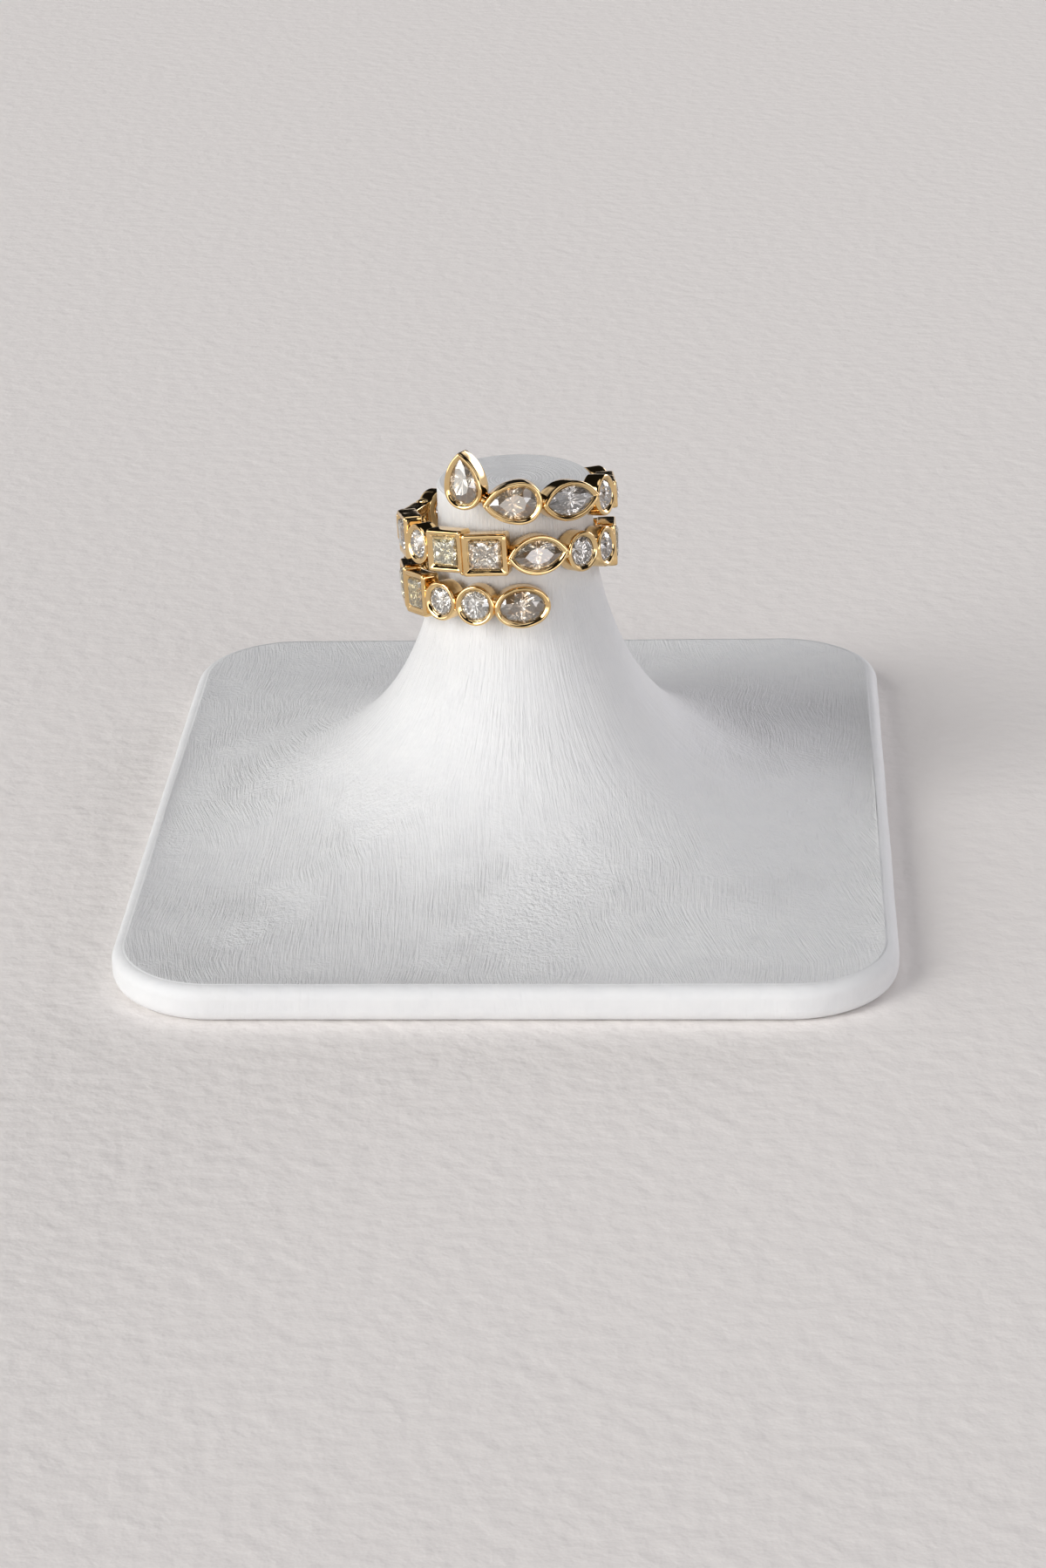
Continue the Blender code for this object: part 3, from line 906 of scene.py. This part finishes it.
def sweep_rings():
    """Rings from the plate to the column. The radius follows the superellipse, and each ring is a
    mix of the plate's outline and a circle: mostly circle as soon as it leaves the plate."""
    plate = plate_outline(PLATE_RIM)
    towards = plate / np.linalg.norm(plate, axis=1, keepdims=True)
    turn = 0.5 * math.pi * (1.0 - np.linspace(0.0, 1.0, SWEEP_STEPS))
    radius = FLARE_OUTER - (FLARE_OUTER - COLUMN_RADIUS) * np.cos(turn) ** (2.0 / FLARE_POWER)
    spread = (radius - COLUMN_RADIUS) / (FLARE_OUTER - COLUMN_RADIUS)
    blend = (spread**FLARE_BLEND_POWER)[:, None, None]
    rings = (1.0 - blend) * towards * radius[:, None, None] + blend * plate
    rings[:, :, 0] += COLUMN_OFFSET * (1.0 - blend[:, :, 0])
    heights = flare_height(radius)[:, None] + np.zeros(len(plate))
    return np.concatenate([rings, heights[:, :, None]], axis=2)


def stand_grid():
    """The whole stand from the middle of its underside, round the rim, up the sweep, over the edge
    of the column and in to the middle of its top."""
    plate = plate_outline(PLATE_RIM)
    towards = plate / np.linalg.norm(plate, axis=1, keepdims=True)
    offset = np.array([COLUMN_OFFSET, 0.0])
    quarter = 0.5 * math.pi

    def level(outline, height):
        return np.c_[outline, np.full(len(plate), height)]

    rings = [level(plate * share, 0.0) for share in np.linspace(*UNDERSIDE_SHARES, CAP_STEPS)]
    for angle in np.linspace(0.0, quarter, EDGE_STEPS):
        inset = PLATE_RIM * (1.0 - math.sin(angle))
        rings.append(level(plate_outline(inset), PLATE_RIM * (1.0 - math.cos(angle))))
    for angle in np.linspace(0.0, quarter, EDGE_STEPS, endpoint=False):
        inset = PLATE_RIM * (1.0 - math.cos(angle))
        height = PLATE_THICKNESS - PLATE_RIM * (1.0 - math.sin(angle))
        rings.append(level(plate_outline(inset), height))
    rings += list(sweep_rings())
    for height in np.linspace(FLARE_TOP, COLUMN_HEIGHT - COLUMN_EDGE, COLUMN_STEPS)[1:-1]:
        rings.append(level(towards * COLUMN_RADIUS + offset, height))
    for angle in np.linspace(0.0, quarter, EDGE_STEPS):
        radius = COLUMN_RADIUS - COLUMN_EDGE * (1.0 - math.cos(angle))
        height = COLUMN_HEIGHT - COLUMN_EDGE * (1.0 - math.sin(angle))
        rings.append(level(towards * radius + offset, height))
    top = COLUMN_RADIUS - COLUMN_EDGE
    for share in np.linspace(*TOP_SHARES, CAP_STEPS):
        rings.append(level(towards * top * share + offset, COLUMN_HEIGHT))
    return np.stack(rings)


STAND_GRID = stand_grid()
print("stand grid:", STAND_GRID.shape)

# %% [markdown]
# ## Low bumps in the paint
# Thick paint never dries quite level. A sum of slow waves gives low bumps, and they only go
# inwards, so that the stand keeps its size.

# %% Bump the surface and build the stand
PAINT_BUMP = 0.05
BUMP_WAVES = 26
BUMP_LENGTHS = (3.0, 14.0)
BUMP_SPREAD = 5.0
# Height over the floor at which the bumps have grown to full size
BUMP_START = 0.8


def grid_normals(grid):
    """The normal at each grid point: the cross product of its two directions along the grid."""
    around = np.roll(grid, -1, axis=1) - np.roll(grid, 1, axis=1)
    along = np.gradient(grid, axis=0)
    normal = np.cross(around, along)
    return normal / np.maximum(np.linalg.norm(normal, axis=2, keepdims=True), 1e-9)


def slow_bumps(points, random):
    """A sum of plane waves in all directions: the sine of the way along each direction over its
    wavelength, the long ones higher than the short ones."""
    total = np.zeros(points.shape[:2])
    for _ in range(BUMP_WAVES):
        direction = random.normal(size=3)
        direction /= np.linalg.norm(direction)
        wavelength = random.uniform(*BUMP_LENGTHS)
        phase = random.uniform(0.0, 2.0 * math.pi)
        wave = np.sin(points @ direction * 2.0 * math.pi / wavelength + phase)
        total += wave * wavelength / BUMP_LENGTHS[1]
    return total / BUMP_SPREAD


def make_stand(paint):
    """The grid moved inwards along its normals by the bumps, with both ends closed."""
    normals = grid_normals(STAND_GRID)
    bumps = np.clip(0.5 + 0.5 * slow_bumps(STAND_GRID, np.random.default_rng(5)), 0.0, 1.0)
    above = np.clip(STAND_GRID[:, :, 2:] / BUMP_START, 0.0, 1.0)
    grid = STAND_GRID - PAINT_BUMP * bumps[:, :, None] * normals * above
    rows, around, _ = grid.shape
    faces = grid_faces(rows, around).tolist()
    faces.append(list(range(around - 1, -1, -1)))
    faces.append(list(range((rows - 1) * around, rows * around)))
    return new_piece("painted_stand", grid.reshape(-1, 3), faces, paint)


print("grid normals:", grid_normals(STAND_GRID).shape)

# %% [markdown]
# ## Brushed white paint
# Each brush stroke leaves a bundle of fine ridges. A noise that is squeezed across the stroke and
# drawn out along it gives those ridges, and a slow noise bends them. On the plate most strokes run
# from back to front, some patches were brushed at a slant, and others were dabbed and show a fine
# rough grain. Round the column the strokes follow the surface, and the plate's rim is smooth, so
# the nodes also read values that the next step stores on the stand.

# %% Make the paint
# Ridges per metre across and along a stroke, on the plate and round the column
STROKE = (4900.0, 260.0, 260.0)
STROKE_ROUND = (4900.0, 4900.0, 260.0)
STROKE_NOISE = (1.0, 3.5, 0.65)
STROKE_SLANT = math.radians(-12.0)
STROKE_HEIGHT = 0.00042
STROKE_BEND = (0.005, 0.0, 0.0)
# Bumps per metre of the slow patterns and of the rough grain
BEND_SCALE = 42.0
SLANT_SCALE = 75.0
DAB_SCALE = 110.0
STRENGTH_SCALE = 95.0
LUMP_SCALE = 520.0
GRAIN_SCALE = 2300.0
LUMP_HEIGHT = 0.0001
PAINT_TONES = [(0.3, (0.755, 0.757, 0.765)), (0.7, (0.785, 0.785, 0.787))]


def plate_strokes(tree, where):
    """Straight strokes, mixed by a slow noise with slanted ones, and by another with dabs."""
    bend = {0: add_noise(tree, where, BEND_SCALE, 1.0), 1: STROKE_BEND, 2: where}
    bent = add_node(tree, "VectorMath", "Vector", bend, operation="MULTIPLY_ADD")
    straight = add_noise(tree, stretched(tree, bent, STROKE), *STROKE_NOISE)
    slanted = add_noise(tree, stretched(tree, bent, STROKE, STROKE_SLANT), *STROKE_NOISE)
    patches = add_range(tree, add_noise(tree, where, SLANT_SCALE), 0.0, 1.0, 0.53, 0.57)
    grain = add_range(tree, add_noise(tree, where, GRAIN_SCALE, 2.0, 0.6), 0.25, 0.75)
    dabs = add_range(tree, add_noise(tree, where, DAB_SCALE), 0.3, 0.95, 0.50, 0.62)
    return add_mix(tree, dabs, add_mix(tree, patches, straight, slanted), grain)


def paint_look(tree):
    """Plate strokes and column strokes mixed by the attribute, times their strength, and lumps."""
    where = object_coordinates(tree)
    sweep = stretched(tree, attribute(tree, "sweep", "Vector"), STROKE_ROUND)
    upright = add_range(tree, add_noise(tree, sweep, *STROKE_NOISE), 0.2, 0.75)
    height = add_mix(tree, attribute(tree, "on_column"), plate_strokes(tree, where), upright)
    strength = add_range(tree, add_noise(tree, where, STRENGTH_SCALE, 1.0), 0.45, 1.0, 0.35, 0.65)
    strength = add_math(tree, "MULTIPLY", strength, attribute(tree, "stroke_strength"))
    fine = add_bump(tree, add_math(tree, "MULTIPLY", height, strength), STROKE_HEIGHT)
    lumps = add_noise(tree, where, LUMP_SCALE, 2.0, 0.6)
    return {
        "Base Color": add_ramp(tree, lumps, PAINT_TONES),
        "Roughness": add_range(tree, lumps, 0.5, 0.75),
        "Normal": add_bump(tree, lumps, LUMP_HEIGHT, under=fine),
    }


PAINT = new_material("brushed_white_paint", paint_look)
STAND = make_stand(PAINT)
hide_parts("ring_stand")
print("stand faces:", len(STAND.data.polygons))

# %% [markdown]
# ## Where the strokes go
# The paint reads three values from each of the stand's points: where it lies round the column and
# how far up the sweep, whether it is on the column, and how strong the strokes are there.

# %% Store the strokes' values on the stand
# Heights between which the plate's strokes give way to the column's, and the rim's strength
COLUMN_FADE = (6.0, 14.0)
RIM_STRENGTH = 0.12


def add_stroke_attributes(stand):
    """The way round the column as a circle's cosine and sine with the length up the sweep, or the
    distance from the middle on the column's top, then the column's share and the strength."""
    flat = STAND_GRID.reshape(-1, 3)
    centred = flat[:, :2] - np.array([COLUMN_OFFSET, 0.0])
    distance = np.linalg.norm(centred, axis=1)
    circle = centred / np.maximum(distance, 1e-6)[:, None] * COLUMN_RADIUS
    steps = np.linalg.norm(np.diff(STAND_GRID, axis=0), axis=2)
    length = np.concatenate([np.zeros((1, steps.shape[1])), np.cumsum(steps, axis=0)]).reshape(-1)
    sweep = np.c_[circle, length]
    top = flat[:, 2] > COLUMN_HEIGHT - 0.5 * COLUMN_EDGE
    sweep[top] = np.c_[distance, 0.0 * distance, centred[:, 0]][top]
    low, high = COLUMN_FADE
    column = np.clip((flat[:, 2] - low) / (high - low), 0.0, 1.0)
    strength = np.ones(STAND_GRID.shape[:2])
    strength[CAP_STEPS : CAP_STEPS + 2 * EDGE_STEPS] = RIM_STRENGTH
    values = (
        ("sweep", "FLOAT_VECTOR", "vector", sweep * MM),
        ("on_column", "FLOAT", "value", column),
        ("stroke_strength", "FLOAT", "value", strength),
    )
    for name, kind, field, value in values:
        stored = stand.data.attributes.new(name, kind, "POINT")
        stored.data.foreach_set(field, value.ravel())


add_stroke_attributes(STAND)
print("values stored on the stand:", len(STAND.data.vertices))

# %% [markdown]
# ## The paper
# The stand stands on thick pale paper. Such paper is matt and has a low grain, so a diffuse
# surface with a fine bump is enough, and it is large enough to fill the picture.

# %% Lay the paper
FLOOR_REACH = 3.0
PAPER_COLOUR = (0.90, 0.860, 0.836, 1.0)
PAPER_GRAIN_SCALE = 460.0
PAPER_GRAIN_HEIGHT = 0.00031


def paper_look(tree):
    """A matt colour over a low grain."""
    grain = add_noise(tree, object_coordinates(tree), PAPER_GRAIN_SCALE, 3.0)
    return {
        "Base Color": PAPER_COLOUR,
        "Roughness": 0.95,
        "Specular IOR Level": 0.1,
        "Normal": add_bump(tree, grain, PAPER_GRAIN_HEIGHT, 0.9),
    }


def make_floor():
    """A flat square round the origin, with its corners at plus and minus its reach."""
    mesh = bpy.data.meshes.new("paper_floor")
    corners = FLOOR_REACH * np.array([(-1, -1, 0), (1, -1, 0), (1, 1, 0), (-1, 1, 0)])
    mesh.from_pydata(corners, [], [(0, 1, 2, 3)])
    floor = bpy.data.objects.new("paper_floor", mesh)
    bpy.context.scene.collection.objects.link(floor)
    mesh.materials.append(new_material("pale_paper", paper_look))
    return floor


print("floor laid:", make_floor().name)

# %% [markdown]
# ## Light
# The light comes from soft boxes round the stand: large ones at the front left, weaker ones along
# the front, the right and the back, and a dim one overhead. Between them the room is dark, which is
# why the gold's upper faces look nearly black while its lower faces are bright. Each box is a
# window with soft edges in the directions of the world's light.

# %% Light it
# Azimuth from the front towards the right and elevation of each soft box, half its width and
# height in degrees, strength and colour
WARM = (1.0, 1.0, 0.985)
COOL = (0.99, 0.98, 1.015)
SOFT_LIGHTS = [
    (-55.0, 37.0, 17.0, 11.0, 7.0, WARM),
    (-55.0, 18.0, 17.0, 8.0, 5.5, WARM),
    (-55.0, 4.0, 17.0, 6.0, 2.2, WARM),
    (-84.0, 8.0, 12.0, 8.0, 3.0, WARM),
    (-12.0, 7.0, 26.0, 7.0, 2.2, WARM),
    (42.0, 9.0, 18.0, 9.0, 3.5, COOL),
    (60.0, 42.0, 32.0, 16.0, 0.9, COOL),
    (118.0, 9.0, 18.0, 9.0, 1.2, COOL),
    (150.0, 9.0, 15.0, 9.0, 5.8, COOL),
    (-125.0, 15.0, 30.0, 15.0, 0.7, COOL),
    (0.0, 80.0, 180.0, 10.0, 1.2, COOL),
]
LIGHT_EDGE = 4.0
ROOM_LIGHT = 0.01


def add_window(tree, value, middle, half):
    """1 where a value is near its middle and 0 well away from it, with a soft edge between."""
    away = add_math(tree, "SUBTRACT", value, math.radians(middle))
    edges = {
        "Value": add_math(tree, "ABSOLUTE", away),
        "From Min": math.radians(half - LIGHT_EDGE),
        "From Max": math.radians(half + LIGHT_EDGE),
        "To Min": 1.0,
        "To Max": 0.0,
    }
    return add_node(tree, "MapRange", "Result", edges, interpolation_type="SMOOTHSTEP")


def make_studio_light():
    """The room's dim light plus every soft box: its two windows' product times its strength and
    colour, all added up in the background's colour."""
    world = bpy.data.worlds.new("studio")
    bpy.context.scene.world = world
    world.use_nodes = True
    tree = world.node_tree
    parts = tree.nodes.new("ShaderNodeSeparateXYZ")
    set_inputs(tree, parts, {0: add_node(tree, "TexCoord", "Generated", {})})
    front = add_math(tree, "MULTIPLY", parts.outputs["Y"], -1.0)
    azimuth = add_math(tree, "ARCTAN2", parts.outputs["X"], front)
    elevation = add_math(tree, "ARCSINE", parts.outputs["Z"])
    total = (ROOM_LIGHT, ROOM_LIGHT, ROOM_LIGHT)
    for turn, rise, half_width, half_height, strength, colour in SOFT_LIGHTS:
        across = add_window(tree, azimuth, turn, half_width)
        upright = add_window(tree, elevation, rise, half_height)
        box = add_math(tree, "MULTIPLY", across, upright)
        inputs = {0: box, 1: [strength * part for part in colour], 2: total}
        total = add_node(tree, "VectorMath", "Vector", inputs, operation="MULTIPLY_ADD")
    set_inputs(tree, tree.nodes["Background"], {"Color": total})
    bpy.context.scene.view_settings.view_transform = "Standard"


make_studio_light()
print("lights:", len(SOFT_LIGHTS))

# %% [markdown]
# ## Camera
# The camera looks down on the stand a little, from the front and slightly from one side, through
# a long lens that keeps the plate's edges nearly parallel. Its focal length is given in pixels of
# the picture's height, and the lens in millimetres follows from it.

# %% Set the camera
FOCAL_PIXELS = 4608.68
FRAME_PIXELS = 1799
SENSOR_WIDTH = 36.0
NEAR_CLIP = 0.01
PITCH = math.radians(23.905)
YAW = math.radians(-3.436)
ROLL = math.radians(-1.594)
CAMERA_PLACE = (0.0228018, -0.3757747, 0.1717835)


def make_camera():
    """The camera's axes from its yaw, its tilt down and its roll, each by its cosine and sine."""
    ahead = math.cos(PITCH)
    forward = np.array([math.sin(YAW) * ahead, math.cos(YAW) * ahead, -math.sin(PITCH)])
    right = np.array([math.cos(YAW), -math.sin(YAW), 0.0])
    up = np.cross(right, forward)
    rolled_right = math.cos(ROLL) * right + math.sin(ROLL) * up
    rolled_up = -math.sin(ROLL) * right + math.cos(ROLL) * up
    matrix = np.eye(4)
    matrix[:3, :3] = np.stack([rolled_right, rolled_up, -forward], axis=1)
    matrix[:3, 3] = CAMERA_PLACE
    data = bpy.data.cameras.new("camera")
    data.sensor_fit = "AUTO"
    data.sensor_width = SENSOR_WIDTH
    data.lens = FOCAL_PIXELS / FRAME_PIXELS * data.sensor_width
    data.clip_start = NEAR_CLIP
    camera = bpy.data.objects.new("camera", data)
    bpy.context.scene.collection.objects.link(camera)
    camera.matrix_world = Matrix(matrix.tolist())
    bpy.context.scene.camera = camera
    return camera


print("lens in millimetres:", round(make_camera().data.lens, 2))

# %% [markdown]
# ## Finish
# The last step brings the scene up to date, so that every piece stands in its place.

# %% Finish
bpy.context.view_layer.update()
